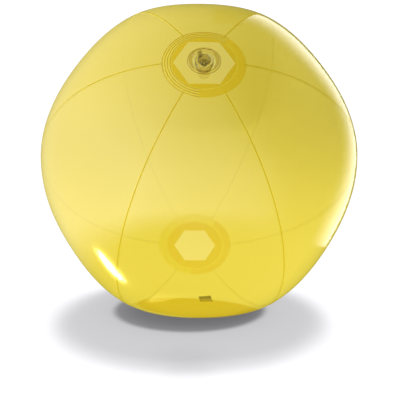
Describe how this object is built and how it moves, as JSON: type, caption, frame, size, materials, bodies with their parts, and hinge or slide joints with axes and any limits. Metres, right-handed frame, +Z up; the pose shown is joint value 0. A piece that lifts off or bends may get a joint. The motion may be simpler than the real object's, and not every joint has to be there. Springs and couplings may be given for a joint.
{
  "type": "inflatable beach ball",
  "caption": "Inflated round beach ball of clear yellow film gores, with a round patch at each end and a plugged air valve in one patch.",
  "frame": {"origin": "on the floor, at the middle of the flat patch that the ball rests on, under the ball's centre", "axes": "+Z up from the floor; the valve is on the upper side and leans towards -Y, with its axis in the YZ plane 48 degrees above the horizontal; +X is to the right as seen from the valve's side"},
  "size_m": [0.236, 0.2349, 0.2324],
  "materials": {
    "yellow_film": "glossy clear yellow film",
    "clear_vinyl": "soft clear vinyl, slightly hazy"
  },
  "bodies": {
    "ball": {"gore_1": "yellow_film", "gore_2": "yellow_film", "gore_3": "yellow_film", "gore_4": "yellow_film", "gore_5": "yellow_film", "gore_6": "yellow_film", "valve_patch": "yellow_film", "base_patch": "yellow_film", "valve_flange": "clear_vinyl", "valve_collar": "clear_vinyl"},
    "stem": {"valve_stem": "clear_vinyl", "plug_strap": "clear_vinyl"},
    "plug": {"stopper_plug": "clear_vinyl"},
    "flap": {"check_flap": "clear_vinyl"}
  },
  "joints": [
    {"name": "stem_slide", "type": "slide", "parent": "ball", "child": "stem", "axis": [0, -0.6704, 0.742], "range_m": [0, 0.01], "deforming": ["valve_collar"]},
    {"name": "plug_hinge", "type": "hinge", "parent": "stem", "child": "plug", "pos_m": [-0.00381, -0.07492, 0.20618], "axis": [-0.8339, -0.4095, -0.37], "range_deg": [0, 130], "deforming": ["plug_strap"]},
    {"name": "flap_hinge", "type": "hinge", "parent": "stem", "child": "flap", "pos_m": [0.00012, -0.06552, 0.1942], "axis": [0.9997, -0.0194, -0.0176], "range_deg": [0, 60], "stiffness_Nm_per_rad": 0.0001}
  ]
}
